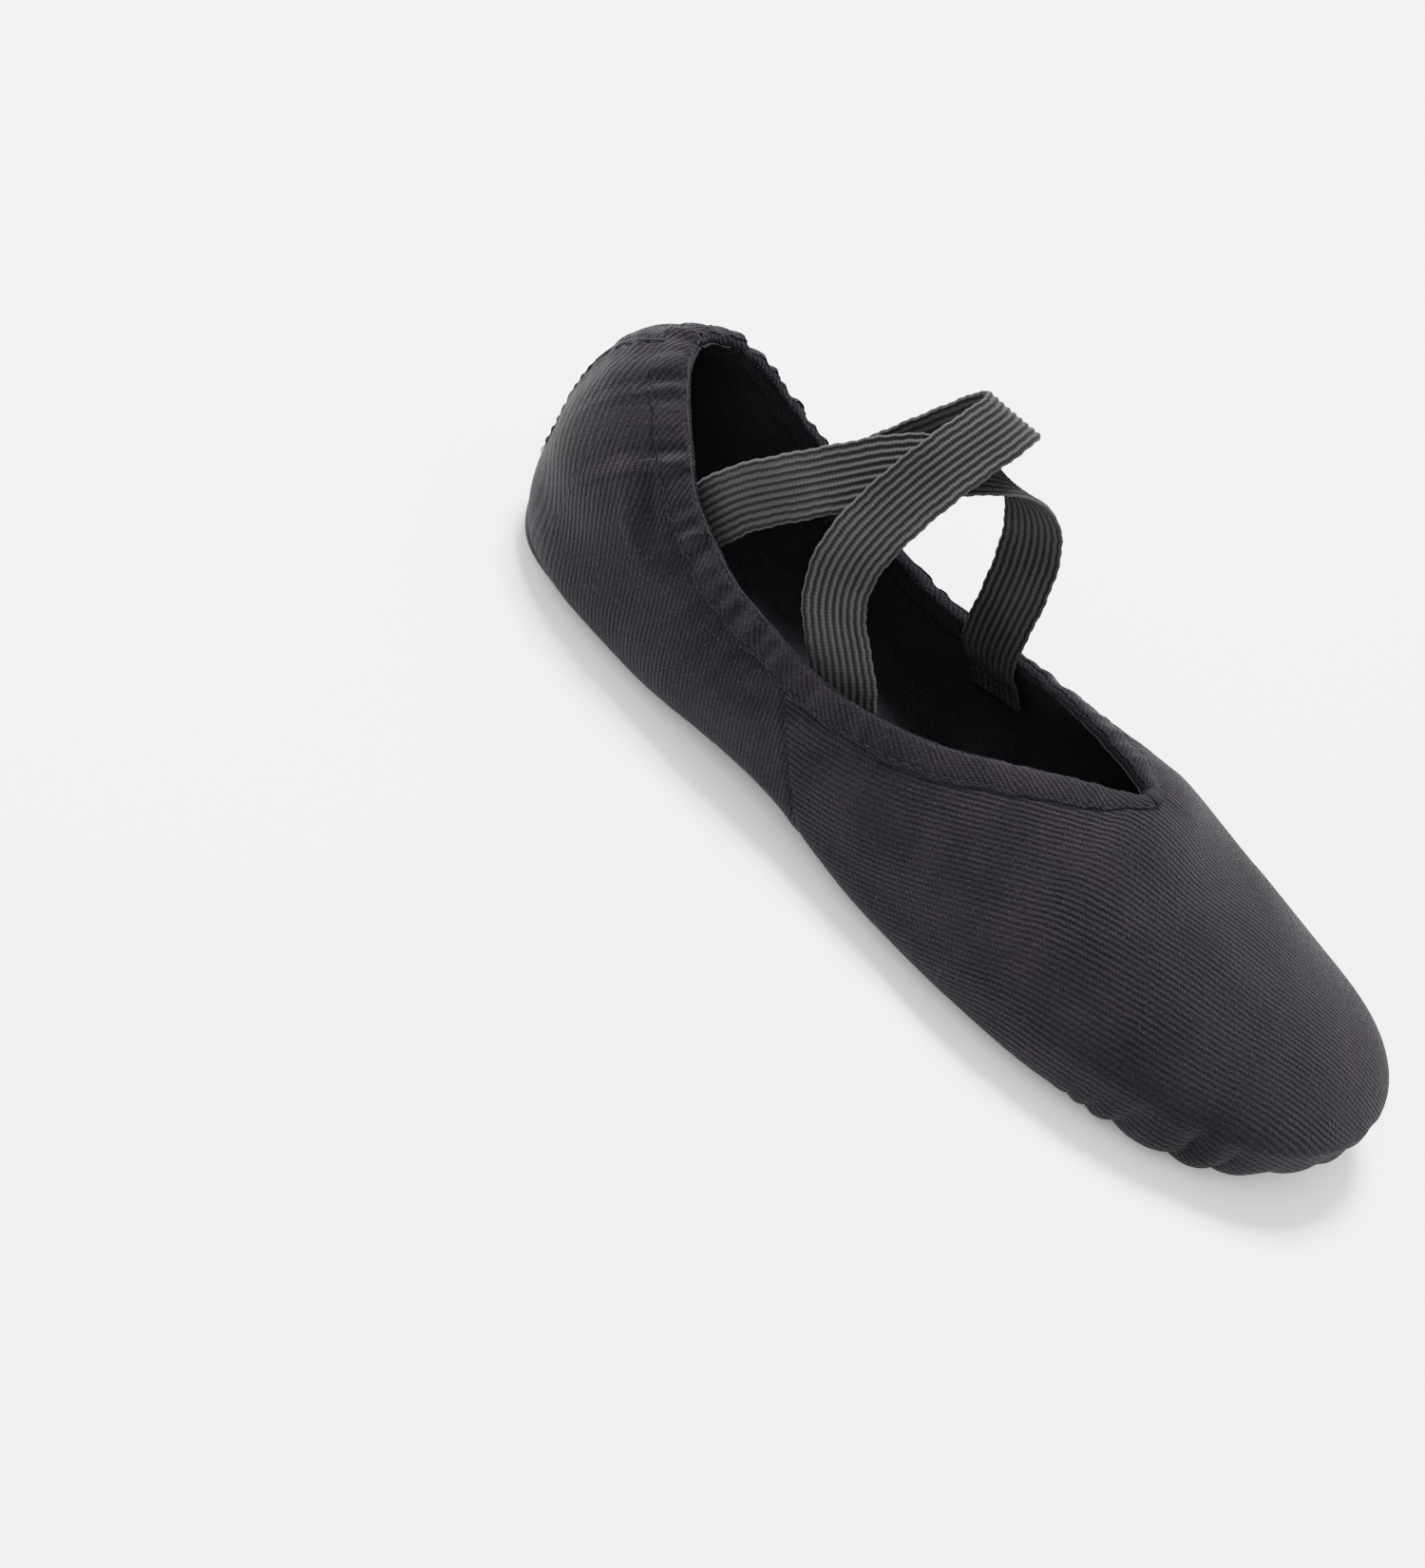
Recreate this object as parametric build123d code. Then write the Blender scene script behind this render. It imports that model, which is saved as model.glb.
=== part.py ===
from build123d import *
import os
import numpy as np

# Split-sole stretch-canvas ballet slipper, right foot, standing on its two suede sole patches.
# Millimetres. +Z up, toe towards -Y, medial (inner) side towards +X. z = 0 is the floor.
# A station s is the distance from the back of the heel, measured along the slipper.

LENGTH = 238.0              # heel to toe, an adult slipper of about EU 38
CANVAS = 1.2                # outer stretch canvas
LINING = 0.75               # inner cotton lining
GAP = 0.05                  # between plies that are sewn or glued together
BINDING = 0.6               # one ply of the folded topline binding
BINDING_DEPTH = 7.5         # how far the binding reaches down from the rim
CANVAS_EDGE = 3.0           # the canvas stops this far below the rim, leaving the elastic's tunnel
CORD_R = 0.85               # drawstring elastic inside the binding
PATCH = 1.5                 # suede sole patch
PAD = 2.0                   # insole pad
TAPE = 0.55                 # seam tape
STRAP_WIDTH = 15.0          # instep elastic
STRAP_THICK = 1.0
STRAP_INSET = 5.0           # depth of a strap's middle under the outer surface where it is sewn in
FLEX = 116.0                # station of the arch flex line, just behind the front patch
FLEX_GAP = 0.3
PATCH_CENTRE = 160.0        # station of the middle of the front patch
STITCH_LENGTH = 2.0
STITCH_PITCH = 3.2
STITCH_INSET = 3.0          # stitch row to patch edge
SHIFT_X = 2.85              # centres the bounding box on the origin

# Shape of the slipper: (station, value) pairs, joined by smooth curves.
HALF_WIDTH = [(0, 27), (20, 30), (35, 32), (60, 33.5), (90, 33), (120, 37.5), (150, 42), (172, 43.5),
              (195, 41), (238, 37)]
CENTRE_X = [(0, 4), (30, 1.5), (60, -1), (110, -5.5), (160, -3.5), (200, 0), (238, 4)]
CROWN_Z = [(0, 62), (25, 66), (40, 67), (60, 63.5), (80, 58), (100, 54), (125, 52), (153, 52.5),
           (180, 43), (205, 34.5), (238, 27)]
WIDEST_Z = [(0, 21), (60, 19), (110, 16), (160, 14), (205, 15), (238, 19)]
SOLE_Z = [(0, 1.75), (48, 1.75), (88, 5.5), (126, 1.75), (205, 1.75), (238, 7)]
RIM_HALF = [(14.5, 0), (14.7, 2.4), (15.3, 4.8), (16.6, 7.7), (20, 12.3), (28, 18.8), (40, 25), (60, 28.5),
            (80, 27.8), (100, 25), (112, 22.5), (125, 17), (140, 8.8), (149, 3.9), (152, 2), (152.7, 1), (153, 0)]
UPPER_POWER = 1.95          # roundness of a section above its widest line
LOWER_POWER = 4.0           # and below it, where the sole is flat
STATIONS = [0.8, 3, 7, 13, 21, 32, 48, 66, 86, 106, 126, 146, 166, 184, 200, 213, 223, 230, 234.5, 237.2]
RING_POINTS = 32            # points round one section
RIM_START, RIM_END = RIM_HALF[0][0], RIM_HALF[-1][0]
RIM_STATIONS = [14.5, 15.3, 17.5, 21, 26, 33, 43, 54, 66, 79, 92, 104, 116, 126, 135, 143, 149, 153]


def along(table, s):
    """Smooth value at station s, with no overshoot between the table's entries."""
    xs, ys = np.array(table, float).T
    s = min(max(s, xs[0]), xs[-1])
    h, slope = np.diff(xs), np.diff(ys) / np.diff(xs)
    m = np.concatenate([slope[:1], np.zeros(len(xs) - 2), slope[-1:]])
    for i in range(1, len(xs) - 1):
        if slope[i - 1] * slope[i] > 0:
            before, after = 2 * h[i] + h[i - 1], h[i] + 2 * h[i - 1]
            m[i] = (before + after) / (before / slope[i - 1] + after / slope[i])
    k = min(max(int(np.searchsorted(xs, s, side="right")) - 1, 0), len(xs) - 2)
    u = (s - xs[k]) / h[k]
    start = (1 + 2 * u) * (1 - u) ** 2 * ys[k] + u * (1 - u) ** 2 * h[k] * m[k]
    return start + u * u * (3 - 2 * u) * ys[k + 1] + u * u * (u - 1) * h[k] * m[k + 1]


def rounding(distance, reach, power):
    """0 at an end of the slipper, 1 from reach onwards."""
    u = min(max(1 - distance / reach, 0), 1)
    return (1 - u ** power) ** (1 / power)


def section(s):
    """Middle x, half width, widest z, and the heights above and below it, at station s."""
    half = along(HALF_WIDTH, s) * rounding(s, 30, 2.1) * rounding(LENGTH - s, 46, 2.1)
    widest = along(WIDEST_Z, s)
    above = (along(CROWN_Z, s) - widest) * rounding(s, 26, 2.6) * rounding(LENGTH - s, 32, 2.0)
    below = (widest - along(SOLE_Z, s)) * rounding(s, 14, 2.0) * rounding(LENGTH - s, 26, 2.0)
    return along(CENTRE_X, s), half, widest, above, below


def shrunk(size, depth):
    """A section size taken in by depth, and never turned inside out near the tips."""
    return max(size - depth, 0.4 * size)


def skin_point(s, angle, depth=0.0):
    """Point of the section at s; angle 0 is +X and 90 degrees the crown; depth is inwards."""
    middle, half, widest, above, below = section(s)
    c, v = np.cos(angle), np.sin(angle)
    power = UPPER_POWER if v >= 0 else LOWER_POWER
    height = shrunk(above if v >= 0 else below, depth)
    r = (abs(c) ** power + abs(v) ** power) ** (-1 / power)
    y = LENGTH / 2 - s - depth * (1 - 2 * s / LENGTH)
    return np.array([middle + SHIFT_X + shrunk(half, depth) * r * c, y, widest + height * r * v])


def skin_normal(s, angle):
    """Outward normal of the outer surface."""
    e = 1e-3
    ds = skin_point(s + e, angle) - skin_point(s - e, angle)
    da = skin_point(s, angle + e) - skin_point(s, angle - e)
    n = np.cross(da, ds)
    return n / np.linalg.norm(n)


def body(depth):
    """The whole closed form of the slipper, shrunk inwards by depth."""
    rings = []
    turns = [k / RING_POINTS for k in range(RING_POINTS + 1)]
    for s in STATIONS:
        points = [Vector(*skin_point(s, 2 * np.pi * turn, depth)) for turn in turns[:-1]]
        rings.append(Wire([Edge.make_spline(points, periodic=True, parameters=turns)]))
    return Solid.make_loft(rings)


BODIES = {}


def skin(outer, inner):
    """Shell of the slipper between two depths under its outer surface."""
    for depth in (outer, inner):
        if depth not in BODIES:
            BODIES[depth] = body(depth)
    return BODIES[outer] - BODIES[inner]


def rim_angle(s):
    """Section angle of the topline at station s, on the +X side."""
    _, half, _, above, _ = section(s)
    q = min(along(RIM_HALF, s) / half, 1)
    return np.arctan2((1 - q ** UPPER_POWER) ** (1 / UPPER_POWER), q)


def rim_point(s, side):
    angle = rim_angle(s)
    return skin_point(s, angle if side > 0 else np.pi - angle)


def rim_tangent(s, side):
    """Direction of the topline, running anticlockwise seen from above."""
    e = 0.1
    if s - e < RIM_START:
        return np.array([-1.0, 0.0, 0.0])
    if s + e > RIM_END:
        return np.array([1.0, 0.0, 0.0])
    t = (rim_point(s - e, side) - rim_point(s + e, side)) * side
    return t / np.linalg.norm(t)


def under_rim(s, side, depth, inset=0.0):
    """Point at arc length depth below the topline, and inset under the outer surface."""
    tangent = rim_tangent(s, side)
    angle = rim_angle(s)
    if side < 0:
        angle = np.pi - angle
    steps = max(int(abs(depth) / 1.5), 1)
    at = s
    for _ in range(steps if depth else 0):
        away = np.cross(tangent, skin_normal(at, angle)) * depth / steps
        e = 1e-3
        ds = (skin_point(at + e, angle) - skin_point(at - e, angle)) / (2 * e)
        da = (skin_point(at, angle + e) - skin_point(at, angle - e)) / (2 * e)
        step, *_ = np.linalg.lstsq(np.stack([ds, da], 1), away, rcond=None)
        at, angle = at + step[0], angle + step[1]
    return skin_point(at, angle) - skin_normal(at, angle) * inset


def rim_loop(depth, inset=0.0):
    """Closed ring of points at one depth below the topline, anticlockwise from the heel."""
    medial = [under_rim(s, 1, depth, inset) for s in RIM_STATIONS]
    lateral = [under_rim(s, -1, depth, inset) for s in RIM_STATIONS[1:-1]]
    return lateral + medial[::-1]


def prism(points, low, high):
    """Upright prism through a closed smooth plan outline."""
    outline = Edge.make_spline([Vector(p[0], p[1], low) for p in points], periodic=True)
    return extrude(make_face(outline), high - low, dir=(0, 0, 1))


def plug(depth):
    """Solid that fills the foot opening; its wall stands square to the upper, depth below the rim."""
    inner, outer = rim_loop(depth, 6.0), rim_loop(depth, -4.0)
    levels = [[(p[0], p[1], 26.0) for p in inner], inner, outer, [(p[0], p[1], 90.0) for p in outer]]
    turns = [k / len(inner) for k in range(len(inner) + 1)]
    rings = [Wire([Edge.make_spline([Vector(*p) for p in level], periodic=True, parameters=turns)])
             for level in levels]
    return Solid.make_loft(rings, ruled=True)


def slab(y_low, y_high, z_low=-5.0, z_high=130.0):
    """Big block between two y planes and two heights."""
    return Pos(0, (y_low + y_high) / 2, (z_low + z_high) / 2) * Box(200, y_high - y_low, z_high - z_low)


def rear_half():
    return slab(LENGTH / 2 - FLEX + FLEX_GAP / 2, LENGTH)


def front_half():
    return slab(-LENGTH, LENGTH / 2 - FLEX - FLEX_GAP / 2)


def side_half(side):
    """Everything on one side of the slipper's curved middle line."""
    stations = [-20, 0, 15, 30, 45, 60, 75, 90, 105, 120]
    line = [(along(CENTRE_X, s) + SHIFT_X + side * GAP / 2, LENGTH / 2 - s) for s in stations]
    corners = line + [(side * 100, LENGTH / 2 - 120), (side * 100, LENGTH / 2 + 20)]
    return Pos(0, 0, -5) * extrude(make_face(Polyline(*corners, close=True)), 150)


def shell_ply(outer, inner):
    """One ply of the upper, open where the foot goes in."""
    return skin(outer, inner) - plug(CANVAS_EDGE)


def quarter(side):
    """Rear canvas of one side, from the centre-back seam to the flex line."""
    return shell_ply(0, CANVAS) & rear_half() & side_half(side)


def vamp():
    """Front canvas over the toes and under the ball of the foot."""
    return shell_ply(0, CANVAS) & front_half()


def lining(half):
    return shell_ply(CANVAS + GAP, CANVAS + GAP + LINING) & half


def rim_trail(rear):
    """Topline stations and sides in order, round the heel or round the throat, just past the flex line."""
    behind = [s for s in RIM_STATIONS if s <= FLEX + 14]
    ahead = [s for s in RIM_STATIONS if s >= FLEX - 14]
    if rear:
        return [(s, -1) for s in behind[::-1]] + [(s, 1) for s in behind[1:]]
    return [(s, -1) for s in ahead] + [(s, 1) for s in ahead[:-1][::-1]]


def rim_zone(rear):
    """Thick block that follows the topline down to the binding's lower edge, for one half."""
    wires = []
    for s, side in rim_trail(rear):
        rim, run, low = rim_point(s, side), rim_tangent(s, side), under_rim(s, side, BINDING_DEPTH)
        out = skin_normal(s, rim_angle(s) if side > 0 else np.pi - rim_angle(s))
        back = np.cross(out, run) * 1.5
        leg = np.cross(run, (low - rim) / np.linalg.norm(low - rim))
        corners = [rim + back + 4 * out, rim + back - 6 * out, low + 6 * leg, low - 4 * leg]
        flat = [c - run * np.dot(c - rim, run) for c in corners]
        wires.append(Wire.make_polygon([Vector(*c) for c in flat], close=True))
    return Solid.make_loft(wires, ruled=True)


def binding(rear):
    """Canvas strip folded over the topline, with a tunnel for the elastic."""
    depth = CANVAS + LINING + 2 * GAP
    outside, inside = -GAP - BINDING, depth + BINDING
    fold = skin(outside, inside) - plug(0)
    core = skin(-GAP, depth) - plug(BINDING)
    return ((fold - core) & rim_zone(rear)) & (rear_half() if rear else front_half())


def rim_elastic(rear):
    """Drawstring elastic that runs inside the binding."""
    middle = (CANVAS + GAP + LINING) / 2
    depth = BINDING + CORD_R + 0.2
    path = Edge.make_spline([Vector(*under_rim(s, side, depth, middle)) for s, side in rim_trail(rear)])
    ring = Plane(origin=path @ 0, z_dir=path % 0) * Circle(CORD_R)
    tunnel = skin(0, CANVAS + GAP + LINING) - plug(BINDING + 0.1)
    return (sweep(ring, path=path) & tunnel) & (rear_half() if rear else front_half())


def front_outline(inset=0.0):
    """Plan outline of the front patch: round towards the toe, S-curved at its rear edge."""
    shape = [(-35, 0), (-32.5, -15), (-26, -25), (-16, -32), (-2, -35.5), (12, -34.5), (23, -30),
             (30, -23), (32.5, -14.5), (31.5, -6), (33, 3), (35, 12), (32.5, 21), (25, 28.5),
             (13, 33.5), (0, 35.5), (-14, 31.5), (-25.5, 22), (-33, 11)]
    middle = along(CENTRE_X, PATCH_CENTRE) + SHIFT_X
    share = 1 - inset / 35
    return [(middle + v * share, LENGTH / 2 - PATCH_CENTRE + u * share) for u, v in shape]


def heel_outline(inset=0.0):
    """Plan outline of the heel patch, an egg with its wide end at the back."""
    points = []
    for k in range(20):
        a = 2 * np.pi * k / 20
        s = 27.3 + (25.5 - inset) * np.cos(a)
        w = (21 - inset) * np.sin(a) * (1 - 0.08 * np.cos(a))
        points.append((along(CENTRE_X, s) + SHIFT_X + w, LENGTH / 2 - s))
    return points


def sole_point(x, y, depth):
    """Point and outward normal under the foot at a plan position, depth under the outer surface."""
    def height(px, py):
        s = (LENGTH / 2 - py - depth) / (1 - 2 * depth / LENGTH)
        middle, half, widest, _, below = section(s)
        q = min(abs(px - middle - SHIFT_X) / (half - depth), 0.999)
        return widest - (below - depth) * (1 - q ** LOWER_POWER) ** (1 / LOWER_POWER)
    e = 1e-2
    gx = (height(x + e, y) - height(x - e, y)) / (2 * e)
    gy = (height(x, y + e) - height(x, y - e)) / (2 * e)
    n = np.array([gx, gy, -1.0])
    return np.array([x, y, height(x, y)]), n / np.linalg.norm(n)


def sole_patch(outline):
    """Suede patch glued and sewn under the sole, with a shallow groove for its stitches."""
    patch = skin(-GAP - PATCH, -GAP) & prism(outline(), -8, 13)
    ring = prism(outline(STITCH_INSET - 0.7), -8, 13) - prism(outline(STITCH_INSET + 0.7), -8, 13)
    return patch - (skin(-GAP - PATCH - 0.6, -GAP - PATCH + 0.5) & ring)


def patch_stitches(outline):
    """Thread showing as separate stitches along the groove of a patch."""
    path = Edge.make_spline([Vector(x, y, 0) for x, y in outline(STITCH_INSET)], periodic=True)
    count = round(path.length / STITCH_PITCH)
    stitches = []
    for k in range(count):
        at, run = path @ (k / count), path % (k / count)
        point, out = sole_point(at.X, at.Y, -GAP - PATCH + 0.2)
        out = Vector(*out)
        plane = Plane(origin=Vector(*point), x_dir=run - out * run.dot(out), z_dir=out)
        stitches.append(plane * Box(STITCH_LENGTH, 0.45, 0.25))
    return Compound(children=stitches)


def insole_pad(outline):
    """Pad glued to the lining above a sole patch."""
    top = CANVAS + LINING + 2 * GAP
    return skin(top, top + PAD) & prism(outline(1.5), -8, 13)


def arch_strip(s_from, s_to):
    """Felled seam under the arch, where the canvas of the two sides meets."""
    stations = np.linspace(s_from, s_to, 6)
    left = [(along(CENTRE_X, s) + SHIFT_X - 3, LENGTH / 2 - s) for s in stations]
    right = [(along(CENTRE_X, s) + SHIFT_X + 3, LENGTH / 2 - s) for s in stations[::-1]]
    plan = Pos(0, 0, -8) * extrude(make_face(Polyline(*left, *right, close=True)), 21)
    return skin(-GAP - TAPE, -GAP) & plan


def back_tape():
    """Tape that covers the centre-back seam on the inside."""
    top = CANVAS + LINING + 2 * GAP
    block = Pos(along(CENTRE_X, 8) + SHIFT_X, LENGTH / 2 - 7, 33) * Box(10, 14, 34)
    return skin(top, top + TAPE) & block


def strap_under_path():
    """Middle line of the strap that passes underneath: lateral rear to medial front."""
    start = [under_rim(42, -1, d, STRAP_INSET) for d in (18, 10, 3)]
    end = [under_rim(105, 1, d, STRAP_INSET) for d in (3, 10, 18)]
    free = [(-20.8, 45, 53), (-18.3, 51.6, 62), (-13, 60, 71), (-7, 67.5, 78), (-0.5, 75.3, 82.3),
            (7.7, 84.7, 83.3), (14, 94.2, 77), (15.6, 99.7, 65.5), (13.6, 103, 52.5)]
    return start + [np.array([x + SHIFT_X, LENGTH / 2 - s, z]) for x, s, z in free] + end


def strap_over_path():
    """Middle line of the strap that passes on top: lateral front to medial rear."""
    start = [under_rim(95 - d / 4, -1, 18 - d, STRAP_INSET) for d in (0, 8, 15)]
    end = [under_rim(55, 1, d, STRAP_INSET) for d in (3, 9, 15)]
    free = [(-26, 83.5, 44), (-25.3, 76.8, 51.5), (-23.5, 73, 61.5), (-18, 73, 73), (-10.5, 75, 84),
            (-1, 77.5, 92), (9.5, 79, 95.5), (17, 77, 90.5), (21, 72, 79), (22.5, 66, 66), (23.3, 60, 53)]
    return start + [np.array([x + SHIFT_X, LENGTH / 2 - s, z]) for x, s, z in free] + end


def ribbon_frames(path, s_start, s_end, count=61):
    """Evenly spaced middle points of a strap, with its width and face directions.

    The strap lies along the topline at both sewn ends and along the slipper in between.
    """
    line = Edge.make_spline([Vector(*p) for p in path])
    lateral, medial = Vector(*rim_tangent(s_start, -1)), Vector(*rim_tangent(s_end, 1)) * -1
    frames = []
    for k in range(count):
        u = k / (count - 1)
        run = line % u
        sewn = max(1 - min(u, 1 - u) / 0.3, 0)
        wide = Vector(0, -1, 0) * (1 - sewn) + (lateral if u < 0.5 else medial) * sewn
        wide = (wide - run * run.dot(wide)).normalized()
        frames.append((line @ u, wide, run.cross(wide).normalized()))
    return frames


def strap(path, s_start, s_end):
    """Flat ribbed elastic that loops over the instep, sewn inside the rim at both ends."""
    wires = []
    for at, wide, face in ribbon_frames(path, s_start, s_end):
        w, t = wide * (STRAP_WIDTH / 2), face * (STRAP_THICK / 2)
        wires.append(Wire.make_polygon([at + w + t, at - w + t, at - w - t, at + w - t], close=True))
    return Solid.make_loft(wires, ruled=True)


def strap_stitches(path, s_start, s_end):
    """Three rows of thread across each sewn end of a strap, on the side of the foot."""
    rows = []
    frames = ribbon_frames(path, s_start, s_end, 81)
    for k in (1, 3, 5, 75, 77, 79):
        at, wide, face = frames[k]
        centre = at + face * (STRAP_THICK / 2 + 0.4)
        rows.append(Plane(origin=centre, x_dir=wide, z_dir=face) * Box(12, 0.5, 0.4))
    return rows


def throat_tack():
    """Bar tack that locks the binding at the bottom of the throat."""
    top, low = under_rim(RIM_END, 1, 1.2, -BINDING - 0.5), under_rim(RIM_END, 1, 5.2, -BINDING - 0.5)
    run = Vector(*(low - top)).normalized()
    plane = Plane(origin=Vector(*((top + low) / 2)), x_dir=run, z_dir=run.cross(Vector(1, 0, 0)) * -1)
    return plane * Box(4, 2.4, 0.8)


def parts():
    """Every node of the slipper by name."""
    under, over = (strap_under_path(), 42, 105), (strap_over_path(), 91, 55)
    rear, front = rear_half(), front_half()
    return {
        "quarter_lateral": quarter(-1),
        "quarter_medial": quarter(1),
        "quarter_lining": lining(rear),
        "topline_binding_rear": binding(True),
        "topline_elastic_rear": rim_elastic(True),
        "heel_sole_patch": sole_patch(heel_outline),
        "heel_patch_stitching": patch_stitches(heel_outline),
        "heel_insole_pad": insole_pad(heel_outline),
        "arch_seam_strip_rear": arch_strip(53.5, FLEX - FLEX_GAP / 2),
        "back_seam_tape": back_tape(),
        "instep_strap_under": strap(*under),
        "instep_strap_over": strap(*over),
        "strap_end_stitching": Compound(children=strap_stitches(*under) + strap_stitches(*over)),
        "vamp": vamp(),
        "vamp_lining": lining(front),
        "topline_binding_front": binding(False),
        "topline_elastic_front": rim_elastic(False),
        "front_sole_patch": sole_patch(front_outline),
        "front_patch_stitching": patch_stitches(front_outline),
        "front_insole_pad": insole_pad(front_outline),
        "arch_seam_strip_front": arch_strip(FLEX + FLEX_GAP / 2, 126.2),
        "throat_tack": throat_tack(),
    }


os.makedirs("parts", exist_ok=True)
for name, shape in parts().items():
    export_step(shape, f"parts/{name}.step")
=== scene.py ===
import bpy
import numpy as np
from mathutils import Matrix, Vector


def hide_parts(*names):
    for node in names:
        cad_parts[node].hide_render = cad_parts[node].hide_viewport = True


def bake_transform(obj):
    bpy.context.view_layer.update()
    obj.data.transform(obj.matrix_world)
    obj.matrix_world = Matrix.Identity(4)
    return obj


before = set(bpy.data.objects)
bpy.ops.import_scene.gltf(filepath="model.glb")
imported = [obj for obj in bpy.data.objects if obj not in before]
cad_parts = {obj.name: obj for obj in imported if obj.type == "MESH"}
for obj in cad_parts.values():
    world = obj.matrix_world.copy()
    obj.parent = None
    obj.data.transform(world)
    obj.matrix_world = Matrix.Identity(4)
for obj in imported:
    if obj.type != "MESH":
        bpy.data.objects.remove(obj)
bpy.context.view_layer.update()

# Right ballet slipper, toe towards -Y, medial side towards +X. Lengths here are millimetres.
# A station s runs from the heel (0) to the toe (LENGTH); tables give (station, value).
MM = 0.001
LENGTH = 238.0                      # of the form, chosen for an adult slipper of about EU 38
CANVAS, LINING, GAP, BINDING = 1.2, 0.75, 0.05, 0.6
WALL = CANVAS + LINING + 2 * GAP
BINDING_DEPTH = 7.5
PATCH, PAD, TAPE = 1.5, 2.0, 0.55
STRAP_WIDTH, STRAP_THICK, STRAP_INSET, STRAP_CORDS = 15.0, 1.0, 5.0, 9
PATCH_CENTRE = 160.0
HEEL_CENTRE, HEEL_LONG, HEEL_WIDE = 27.3, 25.5, 21
STITCH_PITCH, STITCH_INSET, STITCH_LENGTH, STITCH_RADIUS = 3.2, 3.0, 2.3, 0.2
SEAM_LEAN = 4.5                     # the centre-back seam leans this far to one side
MARCH_STEP = 0.5
SHIFT_X = 2.85
HALF_WIDTH = [(0, 27), (20, 30), (35, 32), (60, 33.5), (90, 33), (120, 37.5), (150, 42), (172, 43.5),
              (195, 41), (238, 37)]
CENTRE_X = [(0, 4), (30, 1.5), (60, -1), (110, -5.5), (160, -3.5), (200, 0), (238, 4)]
CROWN_Z = [(0, 62), (25, 66), (40, 67), (60, 63.5), (80, 58), (100, 54), (125, 52), (153, 52.5),
           (180, 43), (205, 34.5), (238, 27)]
WIDEST_Z = [(0, 21), (60, 19), (110, 16), (160, 14), (205, 15), (238, 19)]
SOLE_Z = [(0, 1.75), (48, 1.75), (88, 5.5), (126, 1.75), (205, 1.75), (238, 7)]
RIM_HALF = [(14.5, 0), (14.7, 2.4), (15.3, 4.8), (16.6, 7.7), (20, 12.3), (28, 18.8), (40, 25), (60, 28.5),
            (80, 27.8), (100, 25), (112, 22.5), (125, 17), (140, 8.8), (149, 3.9), (152, 2), (152.7, 1), (153, 0)]
UPPER_POWER, LOWER_POWER = 1.95, 4.0
RIM_START, RIM_END = RIM_HALF[0][0], RIM_HALF[-1][0]
rng = np.random.default_rng(7)


# ---------------------------------------------------------------- shape of the slipper

def along(table, s):
    """Smooth value at stations s, with no overshoot between the table's entries."""
    xs, ys = np.array(table, float).T
    s = np.clip(np.asarray(s, float), xs[0], xs[-1])
    h, slope = np.diff(xs), np.diff(ys) / np.diff(xs)
    m = np.concatenate([slope[:1], np.zeros(len(xs) - 2), slope[-1:]])
    for i in range(1, len(xs) - 1):
        if slope[i - 1] * slope[i] > 0:
            before, after = 2 * h[i] + h[i - 1], h[i] + 2 * h[i - 1]
            m[i] = (before + after) / (before / slope[i - 1] + after / slope[i])
    k = np.clip(np.searchsorted(xs, s, side="right") - 1, 0, len(xs) - 2)
    u = (s - xs[k]) / h[k]
    start = (1 + 2 * u) * (1 - u) ** 2 * ys[k] + u * (1 - u) ** 2 * h[k] * m[k]
    return start + u * u * (3 - 2 * u) * ys[k + 1] + u * u * (u - 1) * h[k] * m[k + 1]


def rounding(distance, reach, power):
    u = np.clip(1 - np.asarray(distance, float) / reach, 0, 1)
    return (1 - u ** power) ** (1 / power)


def section(s):
    half = along(HALF_WIDTH, s) * rounding(s, 30, 2.1) * rounding(LENGTH - s, 46, 2.1)
    widest = along(WIDEST_Z, s)
    above = (along(CROWN_Z, s) - widest) * rounding(s, 26, 2.6) * rounding(LENGTH - s, 32, 2.0)
    below = (widest - along(SOLE_Z, s)) * rounding(s, 14, 2.0) * rounding(LENGTH - s, 26, 2.0)
    return along(CENTRE_X, s) + SHIFT_X, half, widest, above, below


def shrunk(size, depth):
    return np.maximum(size - depth, 0.4 * size)


def skin_point(s, angle, depth=0.0):
    """Point of the section at s; angle 0 is +X and 90 degrees the crown; depth is inwards."""
    s, angle = np.broadcast_arrays(np.asarray(s, float), np.asarray(angle, float))
    middle, half, widest, above, below = section(s)
    c, v = np.cos(angle), np.sin(angle)
    power = np.where(v >= 0, UPPER_POWER, LOWER_POWER)
    height = shrunk(np.where(v >= 0, above, below), depth)
    r = (np.abs(c) ** power + np.abs(v) ** power) ** (-1 / power)
    y = LENGTH / 2 - s - depth * (1 - 2 * s / LENGTH)
    return np.stack([middle + shrunk(half, depth) * r * c, y, widest + height * r * v], -1)


def unit(v):
    return v / np.maximum(np.linalg.norm(v, axis=-1, keepdims=True), 1e-9)


def skin_normal(s, angle):
    e = 1e-3
    ds = skin_point(s + e, angle) - skin_point(s - e, angle)
    da = skin_point(s, angle + e) - skin_point(s, angle - e)
    return unit(np.cross(da, ds))


def rim_angle(s):
    _, half, _, _, _ = section(s)
    q = np.clip(along(RIM_HALF, s) / half, 0, 1)
    inside = (np.asarray(s) > RIM_START) & (np.asarray(s) < RIM_END)
    return np.where(inside, np.arctan2((1 - q ** UPPER_POWER) ** (1 / UPPER_POWER), q), np.pi / 2)


def smooth(x, low, high):
    t = np.clip((np.asarray(x, float) - low) / (high - low), 0, 1)
    return t * t * (3 - 2 * t)


def arc_length(points, closed=False):
    if closed:
        points = np.concatenate([points, points[:1]])
    return np.concatenate([[0], np.cumsum(np.linalg.norm(np.diff(points, axis=0), axis=1))])


# The topline: one closed loop from the heel along the lateral side to the throat and back.
RIM_COUNT = 720


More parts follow.
